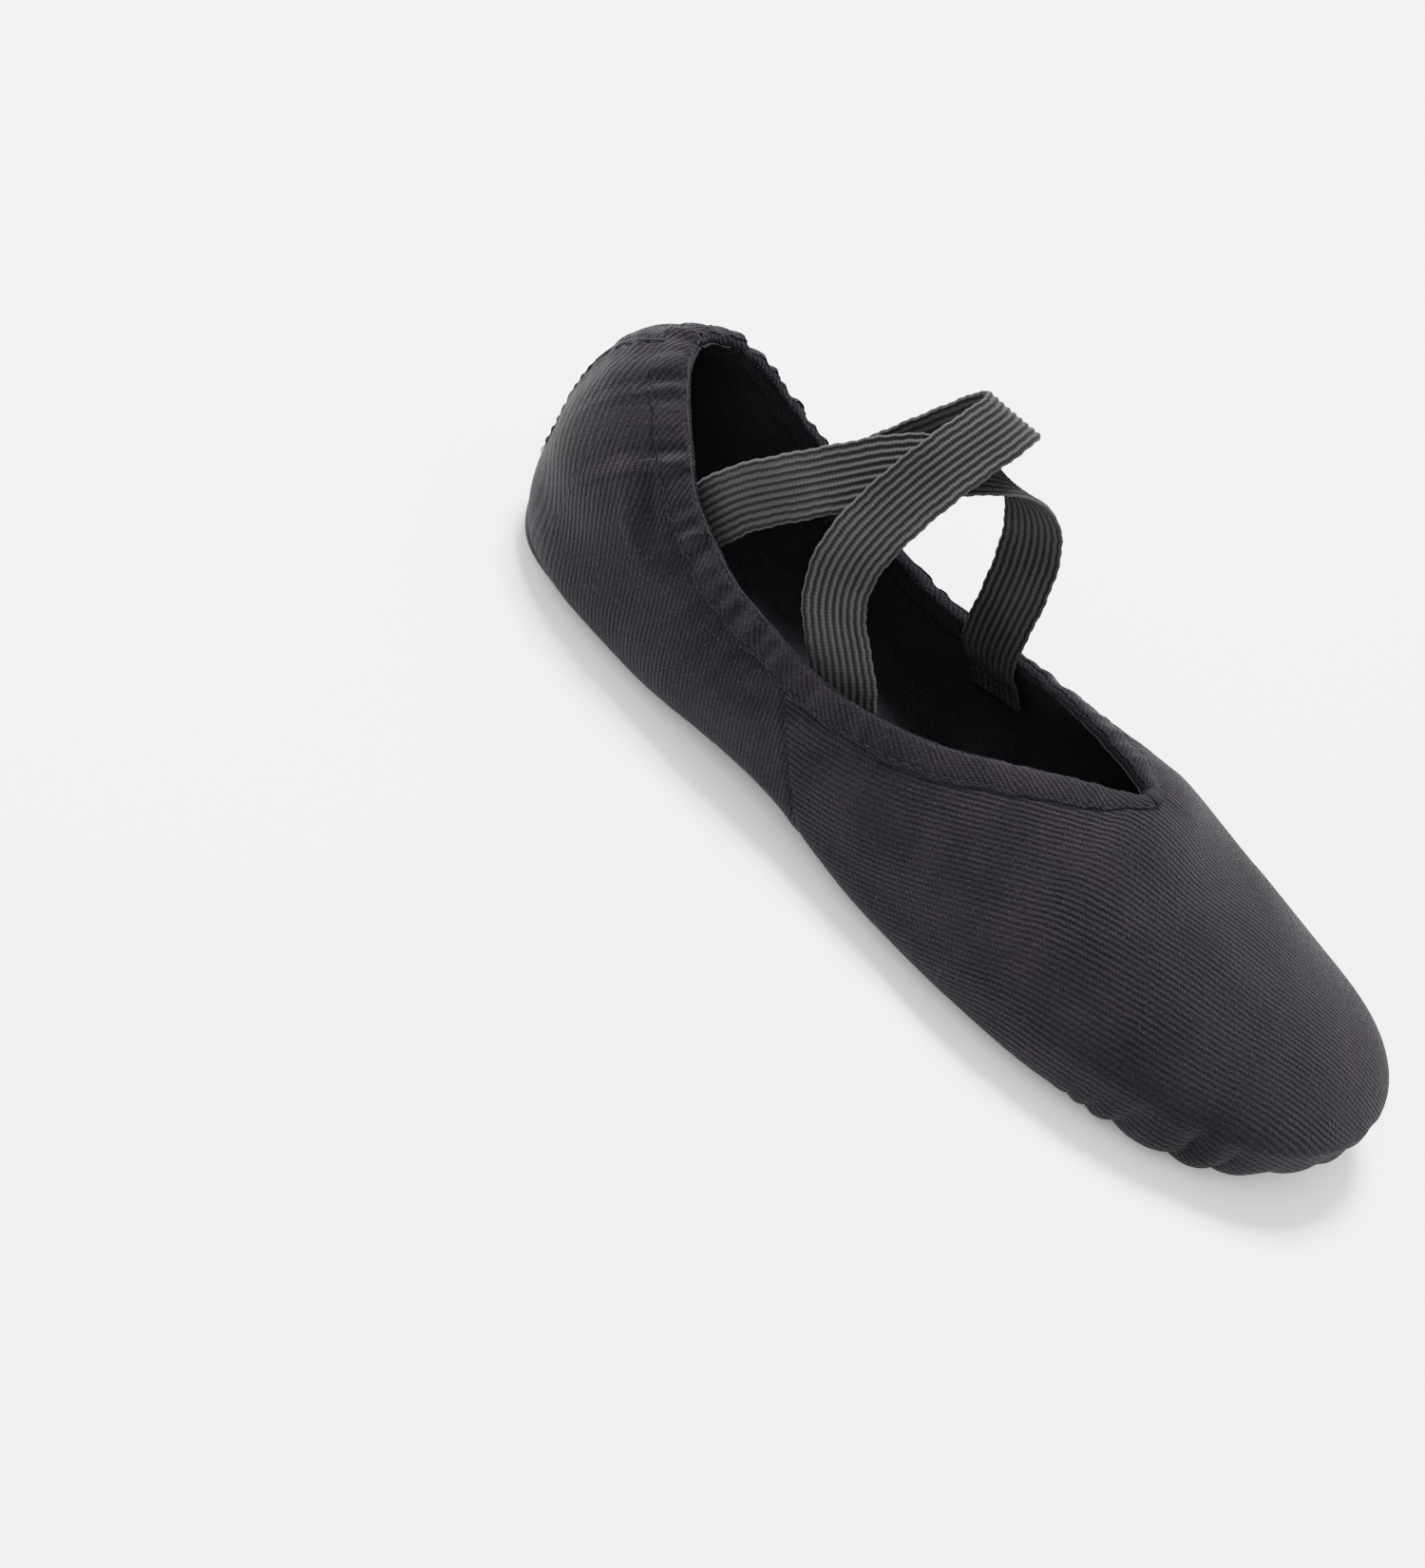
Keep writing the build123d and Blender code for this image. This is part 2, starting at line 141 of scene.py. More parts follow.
def rim_samples():
    half = RIM_START + (RIM_END - RIM_START) * (1 - np.cos(np.linspace(0, np.pi, 1500))) / 2
    s = np.concatenate([half, half[-2:0:-1]])
    side = np.concatenate([-np.ones(len(half)), np.ones(len(half) - 2)])
    angle = np.where(side > 0, rim_angle(s), np.pi - rim_angle(s))
    points = skin_point(s, angle)
    run = arc_length(points, closed=True)
    goal = np.linspace(0, run[-1], RIM_COUNT, endpoint=False)
    s_loop = np.interp(goal, run, np.append(s, s[0]))
    side_loop = np.where(goal < run[len(half) - 1], -1.0, 1.0)
    return s_loop, side_loop, goal, run[-1]


RIM_S, RIM_SIDE, RIM_RUN, RIM_TOTAL = rim_samples()
RIM_ANGLE = np.where(RIM_SIDE > 0, rim_angle(RIM_S), np.pi - rim_angle(RIM_S))
RIM_POINTS = skin_point(RIM_S, RIM_ANGLE)
RIM_TANGENT = unit(np.roll(RIM_POINTS, -1, 0) - np.roll(RIM_POINTS, 1, 0))


def march(s, angle, tangent, depth):
    """Walks the outer surface square to tangent; returns points and normals at each step."""
    points, normals = [skin_point(s, angle)], [skin_normal(s, angle)]
    for _ in range(int(round(depth / MARCH_STEP))):
        away = np.cross(tangent, normals[-1]) * MARCH_STEP
        e = 1e-3
        ds = (skin_point(s + e, angle) - skin_point(s - e, angle)) / (2 * e)
        da = (skin_point(s, angle + e) - skin_point(s, angle - e)) / (2 * e)
        a, b, c = (ds * ds).sum(-1), (ds * da).sum(-1), (da * da).sum(-1)
        p, q = (away * ds).sum(-1), (away * da).sum(-1)
        det = a * c - b * b
        s, angle = s + (p * c - q * b) / det, angle + (q * a - p * b) / det
        points.append(skin_point(s, angle))
        normals.append(skin_normal(s, angle))
    return np.array(points), np.array(normals)


def rim_index(s, side):
    """The topline sample nearest to a station, on the lateral (-1) or medial (1) side."""
    return int(np.argmin(np.abs(RIM_S - s) + (RIM_SIDE != side) * LENGTH * 2))


def near_rim(s, side, depth, inset):
    """Point at arc length depth below the topline at one station, inset under the surface."""
    k = rim_index(s, side)
    points, normals = march(RIM_S[k:k + 1], RIM_ANGLE[k:k + 1], RIM_TANGENT[k:k + 1], depth)
    return points[-1, 0] - normals[-1, 0] * inset


def warp(points):
    """Slow unevenness of the cloth, the same for every piece so that they stay together."""
    x, y, z = points[..., 0], points[..., 1], points[..., 2]
    lift = smooth(z, 2, 16)
    dx = 0.55 * np.sin(y / 13.0 + 1.3) * np.sin(z / 14.0 + 0.4) + 0.35 * np.sin(y / 7.1 + z / 9.0)
    dy = 0.4 * np.sin(x / 11.0 + z / 15.0)
    dz = 0.45 * np.sin(y / 15.0 + x / 19.0 + 0.8) + 0.25 * np.sin(y / 8.3 - x / 12.0)
    heel = smooth(LENGTH / 2 - y, 34, 4) * np.exp(-((z - 44) / 17) ** 2)
    dy, dz = dy + 3.6 * heel, dz + 2.0 * heel * smooth(z, 30, 50)
    dx = dx + 1.6 * heel * np.sign(x - 4) * smooth(np.abs(x - 4), 3, 16)
    return points + np.stack([dx, dy, dz], -1) * lift[..., None]


WAVES = [(7.6, 0.2, 0.9), (5.3, 1.1, 0.8), (11.7, 2.3, 0.9), (3.9, 0.5, 0.45)]


def gather(run):
    """Height of the gathers that the elastic pulls into the topline, strongest round the heel."""
    height = sum(w * np.sin(2 * np.pi * run / RIM_TOTAL * round(RIM_TOTAL / p) + f) for p, f, w in WAVES) / 2
    from_heel = np.minimum(run, RIM_TOTAL - run)
    return height * (0.6 + 1.0 * smooth(from_heel, 105, 55))


# ---------------------------------------------------------------- mesh helpers

def make_object(name, verts, faces, uv=None):
    """Mesh object from millimetre points and quads (or triangles when the last index is -1).

    uv is cloth millimetres for each point, or, one level deeper, for each corner of each face.
    """
    faces = np.asarray(faces, np.int64)
    tri = faces[:, 3] < 0
    counts = np.where(tri, 3, 4)
    loops = faces.ravel()[(np.arange(4)[None, :] < counts[:, None]).ravel()]
    mesh = bpy.data.meshes.new(name)
    mesh.vertices.add(len(verts))
    mesh.vertices.foreach_set("co", (np.asarray(verts) * MM).astype(np.float32).ravel())
    mesh.loops.add(len(loops))
    mesh.loops.foreach_set("vertex_index", loops.astype(np.int32))
    mesh.polygons.add(len(faces))
    mesh.polygons.foreach_set("loop_start", np.concatenate([[0], np.cumsum(counts)[:-1]]).astype(np.int32))
    mesh.update(calc_edges=True)
    mesh.polygons.foreach_set("use_smooth", np.ones(len(faces), bool))
    if uv is not None:
        layer = mesh.uv_layers.new(name="Cloth")
        uv = np.asarray(uv, np.float32)
        corners = uv[loops] if uv.ndim == 2 else uv[0]
        layer.data.foreach_set("uv", corners.ravel())
    obj = bpy.data.objects.new(name, mesh)
    bpy.context.scene.collection.objects.link(obj)
    return obj


def grid_faces(index, close_u=False, close_v=False):
    """Quads of a grid of vertex indices."""
    if close_u:
        index = np.concatenate([index, index[:1]])
    if close_v:
        index = np.concatenate([index, index[:, :1]], 1)
    quads = np.stack([index[:-1, :-1], index[:-1, 1:], index[1:, 1:], index[1:, :-1]], -1)
    return quads.reshape(-1, 4)


def merge_rings(rings):
    """Tube through rings of points, each end closed by a fan of triangles."""
    rings = np.asarray(rings)
    n, m, _ = rings.shape
    index = np.arange(n * m).reshape(n, m)
    faces = [grid_faces(index, close_v=True)]
    verts = rings.reshape(-1, 3)
    for row, flip in ((0, False), (n - 1, True)):
        centre = len(verts)
        verts = np.concatenate([verts, rings[row].mean(0)[None]])
        a, b = index[row], np.roll(index[row], -1)
        fan = np.stack([b, a, np.full(m, centre), np.full(m, -1)], -1)
        faces.append(fan[:, [1, 0, 2, 3]] if flip else fan)
    return verts, np.concatenate(faces)


def join(parts):
    """One vertex and face list from several."""
    verts, faces, base = [], [], 0
    for v, f in parts:
        verts.append(v)
        faces.append(np.where(f >= 0, f + base, -1))
        base += len(v)
    return np.concatenate(verts), np.concatenate(faces)


def capsule(centre, run, out, length, radius, rise=0.0):
    """One stitch: a short thread that dips into the cloth at both ends."""
    rings = []
    across = np.cross(out, run)
    for t in np.linspace(-1, 1, 9):
        r = radius * np.sqrt(max(1 - abs(t) ** 4, 0.02))
        middle = centre + run * t * length / 2 + out * (rise - 1.1 * radius * t ** 4)
        rings.append([middle + across * r * np.cos(a) + out * r * np.sin(a)
                      for a in np.linspace(0, 2 * np.pi, 8, False)])
    return merge_rings(rings)


def stitch_row(points, normals, pitch=STITCH_PITCH, length=STITCH_LENGTH, radius=STITCH_RADIUS, closed=False):
    """Stitches of one thread along a line of points, slightly uneven in place, direction and length."""
    run = arc_length(points, closed)
    if closed:
        points, normals = np.concatenate([points, points[:1]]), np.concatenate([normals, normals[:1]])
    count = max(int(round(run[-1] / pitch)), 1)
    parts = []
    for k in range(count):
        at = (k + 0.5) * run[-1] / count + rng.normal(0, 0.06)
        p = np.array([np.interp(at, run, points[:, i]) for i in range(3)])
        q = np.array([np.interp(at + 0.3, run, points[:, i]) for i in range(3)])
        n = unit(np.array([np.interp(at, run, normals[:, i]) for i in range(3)]))
        d = unit(q - p) if np.linalg.norm(q - p) > 1e-6 else unit(np.cross(n, [0, 0, 1.0]))
        d = unit(d + np.cross(n, d) * rng.normal(0, 0.05))
        parts.append(capsule(p, d, n, length * (1 + rng.normal(0, 0.04)), radius))
    return join(parts)


def spline(points, count, skip=0):
    """Smooth curve through points (natural cubic on chord length), evenly resampled.

    The first and last skip points only steer it.
    """
    p = np.asarray(points, float)
    t = arc_length(p)
    h = np.diff(t)
    n = len(p)
    a, b = np.eye(n), np.zeros((n, 3))
    for i in range(1, n - 1):
        a[i, i - 1:i + 2] = h[i - 1], 2 * (h[i - 1] + h[i]), h[i]
        b[i] = 6 * ((p[i + 1] - p[i]) / h[i] - (p[i] - p[i - 1]) / h[i - 1])
    m = np.linalg.solve(a, b)

    def at(q):
        k = np.clip(np.searchsorted(t, q, side="right") - 1, 0, n - 2)
        g, u, w = h[k][:, None], (q - t[k])[:, None], (t[k + 1] - q)[:, None]
        curve = (m[k] * w ** 3 + m[k + 1] * u ** 3) / (6 * g)
        return curve + (p[k] / g - m[k] * g / 6) * w + (p[k + 1] / g - m[k + 1] * g / 6) * u
    knots = np.linspace(t[skip], t[n - 1 - skip], 2000)
    run = arc_length(at(knots))
    return at(np.interp(np.linspace(0, run[-1], count), run, knots))


# ---------------------------------------------------------------- materials

def material(name, dark, light, pattern, roughness=0.9, sheen=0.03, depth=0.3, speck=0.0):
    """Cloth or leather. pattern(nodes, links) returns the height socket, 0 to 1, of its surface; the colour
    follows it, with painted highlight on the ridges and painted shade in the grooves, over random tone.
    """
    mat = bpy.data.materials.new(name)
    mat.use_nodes = True
    nodes, links = mat.node_tree.nodes, mat.node_tree.links
    shader = nodes["Principled BSDF"]
    shader.inputs["Roughness"].default_value = roughness
    shader.inputs["Sheen Weight"].default_value = sheen
    shader.inputs["Sheen Roughness"].default_value = 0.55
    shader.inputs["Specular IOR Level"].default_value = 0.08
    height = pattern(nodes, links)
    cloud = noise(nodes, links, 55.0, 4.0)
    mixed = maths(nodes, links, "MULTIPLY_ADD", cloud, 0.45, maths(nodes, links, "MULTIPLY", height, 0.75))
    # The ramp paints the height pattern as light and shade: raised weave, nap and cords lighter as painted
    # highlight, grooves darker as painted shade. The cloud noise is real tone that varies at random.
    ramp = nodes.new("ShaderNodeValToRGB")
    ramp.color_ramp.elements[0].position = 0.28
    ramp.color_ramp.elements[0].color = (*dark, 1)
    ramp.color_ramp.elements[1].position = 0.92
    ramp.color_ramp.elements[1].color = (*light, 1)
    links.new(mixed, ramp.inputs["Fac"])
    colour = ramp.outputs["Color"]
    if speck:
        lint = maths(nodes, links, "GREATER_THAN", noise(nodes, links, 1600.0, 1.0), 0.72)
        mix = nodes.new("ShaderNodeMix")
        mix.data_type = "RGBA"
        links.new(maths(nodes, links, "MULTIPLY", lint, speck), mix.inputs["Factor"])
        links.new(colour, mix.inputs[6])
        mix.inputs[7].default_value = (*[min(c * 3.0, 1) for c in light], 1)
        colour = mix.outputs[2]
    links.new(colour, shader.inputs["Base Color"])
    bump = nodes.new("ShaderNodeBump")
    bump.inputs["Strength"].default_value = 0.8
    bump.inputs["Distance"].default_value = depth * MM
    links.new(height, bump.inputs["Height"])
    links.new(bump.outputs["Normal"], shader.inputs["Normal"])
    return mat


def maths(nodes, links, operation, a, b, c=None):
    node = nodes.new("ShaderNodeMath")
    node.operation = operation
    for socket, value in zip(node.inputs, (a, b, c)):
        if isinstance(value, (int, float)):
            socket.default_value = value
        elif value is not None:
            links.new(value, socket)
    return node.outputs[0]


def noise(nodes, links, scale, detail):
    """Noise over the object's own shape, in metres."""
    where = nodes.new("ShaderNodeTexCoord")
    node = nodes.new("ShaderNodeTexNoise")
    node.inputs["Scale"].default_value = scale
    node.inputs["Detail"].default_value = detail
    links.new(where.outputs["Object"], node.inputs["Vector"])
    return node.outputs["Fac"]


def bands(nodes, links, degrees, pitch, wobble=0.5):
    """Parallel ridges across the cloth's own millimetres, at an angle to its length."""
    uv = nodes.new("ShaderNodeUVMap")
    uv.uv_map = "Cloth"
    turn = nodes.new("ShaderNodeMapping")
    turn.inputs["Rotation"].default_value = (0, 0, np.radians(degrees))
    wave = nodes.new("ShaderNodeTexWave")
    wave.inputs["Scale"].default_value = 2 * np.pi / (20 * pitch)
    wave.inputs["Distortion"].default_value = wobble
    wave.inputs["Detail"].default_value = 1.0
    wave.inputs["Detail Scale"].default_value = 0.6
    links.new(uv.outputs["UV"], turn.inputs["Vector"])
    links.new(turn.outputs["Vector"], wave.inputs["Vector"])
    return wave.outputs["Fac"]


def twill(degrees, pitch=1.3):
    """Diagonal ribs, each built from short thread floats, with a little fuzz."""
    def pattern(nodes, links):
        ribs = bands(nodes, links, degrees, pitch, 0.7)
        floats = bands(nodes, links, degrees + 58, pitch * 0.62, 0.4)
        weave = maths(nodes, links, "MULTIPLY", ribs, maths(nodes, links, "MULTIPLY_ADD", floats, 0.45, 0.55))
        worn = maths(nodes, links, "MULTIPLY_ADD", noise(nodes, links, 38.0, 2.0), 2.6, -0.75)
        worn.node.use_clamp = True
        weave = maths(nodes, links, "MULTIPLY", weave, maths(nodes, links, "MULTIPLY_ADD", worn, 0.65, 0.35))
        grain = maths(nodes, links, "MULTIPLY_ADD", noise(nodes, links, 1500.0, 3.0), 1.5, -0.45)
        return maths(nodes, links, "MULTIPLY_ADD", grain, 0.65, maths(nodes, links, "MULTIPLY", weave, 0.7))
    return pattern


def nap(scale, second):
    """Short suede nap: fine grain over broader scuffs."""
    def pattern(nodes, links):
        fine = noise(nodes, links, scale, 5.0)
        return maths(nodes, links, "MULTIPLY_ADD", noise(nodes, links, second, 3.0), 0.5,
                     maths(nodes, links, "MULTIPLY", fine, 0.6))
    return pattern


def ribbed(nodes, links):
    """Lengthwise cords of the elastic, with the crosswise covering yarn."""
    across = bands(nodes, links, 0, 0.8, 0.3)
    cords = bands(nodes, links, 90, STRAP_WIDTH / STRAP_CORDS, 0.0)
    return maths(nodes, links, "MULTIPLY_ADD", across, 0.15, maths(nodes, links, "MULTIPLY", cords, 0.75))


def thread_twist(nodes, links):
    """Fine unevenness of sewing thread."""
    return noise(nodes, links, 3000.0, 1.0)


# DARK is the painted shade in the weave's grooves and LIGHT the painted highlight on its ridges, round the
# cloth's near-black colour. The colour pairs below work the same way.
DARK, LIGHT = (0.0002, 0.0001, 0.0003), (0.0100, 0.0068, 0.0118)
canvas_vamp = material("canvas_vamp", DARK, LIGHT, twill(69), depth=0.7, speck=0.4)
canvas_lateral = material("canvas_lateral", DARK, LIGHT, twill(150, 1.05), depth=0.55, speck=0.5)
canvas_medial = material("canvas_medial", DARK, LIGHT, twill(30, 1.05), depth=0.55, speck=0.5)
canvas_binding = material("canvas_binding", DARK, LIGHT, twill(40, 1.1), depth=0.45, speck=0.35)
lining_cloth = material("lining_cloth", (0.002, 0.002, 0.003), (0.013, 0.012, 0.016), twill(90, 0.7), depth=0.15)
suede = material("suede", (0.003, 0.0028, 0.0034), (0.016, 0.0145, 0.0168), nap(2600.0, 300.0), 0.97, 0.08, 0.25)
pad_cloth = material("pad_cloth", (0.004, 0.004, 0.005), (0.018, 0.017, 0.020), twill(0, 0.9), depth=0.15)
elastic = material("elastic", (0.0012, 0.0010, 0.0012), (0.030, 0.028, 0.029), ribbed, 0.85, 0.03, 0.4)
thread = material("thread", (0.001, 0.001, 0.0014), (0.007, 0.006, 0.008), thread_twist, 0.7, 0.03, 0.05)


# ---------------------------------------------------------------- pieces


def finish_piece(obj, mat, nodes):
    """Gives a piece its material and baked transform, and hides the CAD nodes that it stands for."""
    obj.data.materials.append(mat)
    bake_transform(obj)
    if nodes:
        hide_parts(*nodes)
    return obj


def upper_grid():
    """Grid over the whole upper, open at the topline.

    Gives each row's station, each point's angle and its distance from the crown both ways round, and
    which rows close over the crown.
    """
    back = RIM_START * np.linspace(0.08, 1, 34, endpoint=False) ** 2
    middle = RIM_S[(RIM_SIDE < 0)][1:]
    front = LENGTH - (LENGTH - RIM_END) * np.linspace(1, 0.04, 150) ** 2
    s = np.concatenate([back, middle[middle < RIM_END - 0.02], front[1:]])
    top = rim_angle(s)
    columns = 281
    angle = np.empty((len(s), columns))
    from_crown = np.empty((len(s), columns, 2))
    for i, (at, rim) in enumerate(zip(s, top)):
        a = np.linspace(np.pi - rim, 2 * np.pi + rim, 900)
        run = arc_length(skin_point(np.full(900, at), a))
        goal = np.linspace(0, run[-1], columns)
        angle[i] = np.interp(goal, run, a)
        missing = [arc_length(skin_point(np.full(80, at), np.linspace(np.pi / 2, end, 80)))[-1]
                   for end in (np.pi - rim, rim)]
        from_crown[i, :, 0] = -(missing[0] + goal)
        from_crown[i, :, 1] = missing[1] + run[-1] - goal
    closed = (s <= RIM_START) | (s >= RIM_END)
    return s, angle, from_crown, closed


GRID_S, GRID_ANGLE, GRID_CROWN, GRID_CLOSED = upper_grid()
GRID_POINTS = skin_point(GRID_S[:, None], GRID_ANGLE)
GRID_NORMALS = np.nan_to_num(skin_normal(GRID_S[:, None] + 0 * GRID_ANGLE, GRID_ANGLE))
GRID_STEPS = np.linalg.norm(np.diff(GRID_POINTS, axis=0), axis=-1)
GRID_ALONG = np.concatenate([np.zeros((1, GRID_ANGLE.shape[1])), np.cumsum(GRID_STEPS, 0)])
GRID_ALONG -= GRID_ALONG[int(np.argmin(np.abs(GRID_S - RIM_END)))]


def nearest_rim(points):
    """Distance to the topline and the run along it, for many points."""
    flat = points.reshape(-1, 3)
    away, run = np.empty(len(flat)), np.empty(len(flat))
    rim = RIM_POINTS[::3]
    for k in range(0, len(flat), 8000):
        d = np.linalg.norm(flat[k:k + 8000, None] - rim[None], axis=-1)
        j = d.argmin(1)
        away[k:k + 8000], run[k:k + 8000] = d[np.arange(len(j)), j], RIM_RUN[::3][j]
    return away.reshape(points.shape[:-1]), run.reshape(points.shape[:-1])


RIM_AWAY, NEAR_RUN = nearest_rim(GRID_POINTS)
FRONT_SHAPE = [(-35, 0), (-32.5, -15), (-26, -25), (-16, -32), (-2, -35.5), (12, -34.5), (23, -30),
               (30, -23), (32.5, -14.5), (31.5, -6), (33, 3), (35, 12), (32.5, 21), (25, 28.5),
               (13, 33.5), (0, 35.5), (-14, 31.5), (-25.5, 22), (-33, 11)]
PATCH_X, PATCH_Y = float(along(CENTRE_X, PATCH_CENTRE)) + SHIFT_X, LENGTH / 2 - PATCH_CENTRE


def seam_distance(points):
    """Signed distance in front of the slanted side seam between vamp and quarters."""
    s, z = LENGTH / 2 - points[..., 1], points[..., 2]
    return (s - (76 + (36 - z) * 28 / 31)) * 0.74


def canvas_relief(points):
    """Height of pleats, gathers, seams and puckers over the smooth form."""
    x, y, z = points[..., 0], points[..., 1], points[..., 2]
    s = LENGTH / 2 - y
    relief = 0.62 * np.exp(-RIM_AWAY / 10) * gather(NEAR_RUN)
    seam = seam_distance(points)
    relief += -0.2 * np.exp(-(seam / 0.6) ** 2) + 0.16 * np.exp(-((seam + 1.8) / 1.4) ** 2)
    back = x - along(CENTRE_X, s) - SHIFT_X + SEAM_LEAN * smooth(z, 8, 40)
    behind = (s < 16) * (GRID_NORMALS[..., 1] > 0.05)
    pucker = 0.3 * np.cos(2 * np.pi * z / 5.2) * np.exp(-np.abs(back) / 5) * smooth(z, 6, 16)
    relief += behind * (0.35 * np.exp(-((back + 2.2) / 1.5) ** 2) + pucker)
    turn = np.arctan2(x - PATCH_X, PATCH_Y - y)
    radius = np.hypot(x - PATCH_X, y - PATCH_Y)
    ridge = np.abs(np.sin(21 * turn + 0.9 * np.sin(6.1 * turn + 0.4) + 0.5 * np.sin(13 * turn)))
    ends = 10 + 8 * (0.5 + 0.5 * np.sin(9.3 * turn + 1.0))
    mask = smooth(radius, 34, 38) * (1 - smooth(z, ends - 6, ends + 5))
    mask = mask * (1 - smooth(np.abs(turn), 0.85, 1.2))
    relief += 2.3 * (ridge ** 0.7 - 0.6) * mask
    swell = np.sin(y / 9.3 + z / 6.1) * np.sin(y / 17.0 - z / 8.0 + 1.7)
    relief += 0.55 * swell * smooth(z, 6, 18) * smooth(RIM_AWAY, 6, 22)
    crease = np.sin(y / 3.1 + z / 2.6 + 0.7 * np.sin(z / 5.0)) * np.exp(-((s - 84) / 20) ** 2)
    relief += 0.45 * crease * smooth(z, 14, 22) * np.exp(-((RIM_AWAY - 9) / 9) ** 2)
    dimple = np.exp(-((s - 30) / 5.0) ** 2 - ((RIM_AWAY - 11) / 3.0) ** 2)
    relief += -1.3 * dimple * (x < 0) + 0.9 * np.roll(dimple, 12, axis=1) * (x < 0)
    fold = np.exp(-((s - 24) / 3.5) ** 2) * np.exp(-((z - 42 - (s - 24) * 0.7) / 5) ** 2)
    return relief + 0.5 * fold * (x < 0)


def shell_piece(name, keep, depth, relief, inward=False):
    """One cloth piece of the upper cut from the grid, at a depth under the outer surface."""
    points = skin_point(GRID_S[:, None], GRID_ANGLE, depth) + GRID_NORMALS * relief[..., None]
    points = warp(points)
    rows, columns = GRID_ANGLE.shape
    index = np.arange(rows * columns).reshape(rows, columns)
    corners = grid_faces(index)
    index[GRID_CLOSED, -1] = index[GRID_CLOSED, 0]
    for row in (0, rows - 1):
        index[row] = index[row, 0]
        points[row] = points[row].mean(0)
    quads = grid_faces(index)
    if inward:
        quads, corners = quads[:, ::-1], corners[:, ::-1]
    centre = GRID_POINTS.reshape(-1, 3)[quads].mean(1)
    kept = keep(centre)
    quads, corners = quads[kept], corners[kept]
    medial_half = (corners % columns).mean(1) > columns // 2
    uv = np.stack([GRID_ALONG[..., None] + 0 * GRID_CROWN, GRID_CROWN], -1).reshape(-1, 2, 2)
    uv = uv[corners, medial_half[:, None].astype(int)]
    pinched = (quads[:, 0] == quads[:, 1]) | (quads[:, 2] == quads[:, 3])
    used, numbers = np.unique(quads, return_inverse=True)
    quads = numbers.reshape(-1, 4)
    tips = []
    for k in np.where(pinched)[0]:
        ring = list(dict.fromkeys(quads[k]))
        if len(ring) == 3:
            tips.append(ring + [-1])
    corners_kept = uv[~pinched].reshape(-1, 2)
    if tips:
        corners_kept = np.concatenate([corners_kept, uv[pinched][:len(tips), 0].repeat(3, 0)])
        quads = np.concatenate([quads[~pinched], np.array(tips)])
    return make_object(name, points.reshape(-1, 3)[used], quads, corners_kept[None])


def in_vamp(p):
    """Whether points lie in front of the side seam."""
    return seam_distance(p) > 0


def beside(p, side):
    """Whether points lie on one side of the centre line, which leans over at the back seam."""
    s = LENGTH / 2 - p[:, 1]
    shift = SEAM_LEAN * smooth(p[:, 2], 8, 40) * smooth(s, 30, 12)
    return (p[:, 0] - along(CENTRE_X, s) - SHIFT_X + shift) * side > 0


RELIEF = canvas_relief(GRID_POINTS)
vamp = shell_piece("canvas_vamp", in_vamp, 0, RELIEF)
finish_piece(vamp, canvas_vamp, ["vamp"])
lateral = shell_piece("canvas_quarter_lateral", lambda p: ~in_vamp(p) & beside(p, -1), 0, RELIEF)
finish_piece(lateral, canvas_lateral, ["quarter_lateral"])
medial = shell_piece("canvas_quarter_medial", lambda p: ~in_vamp(p) & beside(p, 1), 0, RELIEF)
finish_piece(medial, canvas_medial, ["quarter_medial"])
INNER_RELIEF = 0.25 * np.clip(gather(NEAR_RUN), -1, 1) * np.exp(-RIM_AWAY / 9)
GRID_Y, GRID_Z = GRID_POINTS[..., 1], GRID_POINTS[..., 2]
LINING_FOLDS = np.sin(GRID_Y / 6.2 + GRID_Z / 4.4) * np.sin(GRID_Y / 13.0 - 0.6)
INNER_RELIEF += 0.45 * LINING_FOLDS * smooth(RIM_AWAY, 6, 14) * smooth(GRID_Z, 9, 16)
lining_front = shell_piece("lining_vamp", in_vamp, WALL, INNER_RELIEF, inward=True)
finish_piece(lining_front, lining_cloth, ["vamp_lining"])
lining_rear = shell_piece("lining_quarters", lambda p: ~in_vamp(p), WALL, INNER_RELIEF, inward=True)
finish_piece(lining_rear, lining_cloth, ["quarter_lining"])


# Binding: one strip folded over the topline, gathered by its elastic.
BAND_POINTS, BAND_NORMALS = march(RIM_S, RIM_ANGLE, RIM_TANGENT, BINDING_DEPTH + 1.5)
RIM_GATHER = gather(RIM_RUN)
FROM_THROAT = np.abs(RIM_RUN - RIM_RUN[int(np.argmin(RIM_POINTS[:, 1]))])
BAND_SHARE = 1 + 0.05 * np.roll(RIM_GATHER, 5) + 0.03 * np.sin(RIM_RUN / 2.1)
BAND_SHARE = (1 - 0.5 * smooth(FROM_THROAT, 13, 1)) * BAND_SHARE


def band_at(depth, lift):
    """Ring at a depth below the topline, lifted off the outer surface; the band narrows at the throat."""
    k = np.clip(depth * BAND_SHARE / MARCH_STEP, 0, len(BAND_POINTS) - 1.001)
    i, u, column = k.astype(int), (k - k.astype(int))[:, None], np.arange(RIM_COUNT)
    p = BAND_POINTS[i, column] * (1 - u) + BAND_POINTS[i + 1, column] * u
    n = unit(BAND_NORMALS[i, column] * (1 - u) + BAND_NORMALS[i + 1, column] * u)
    return p + n * np.asarray(lift)[..., None], n


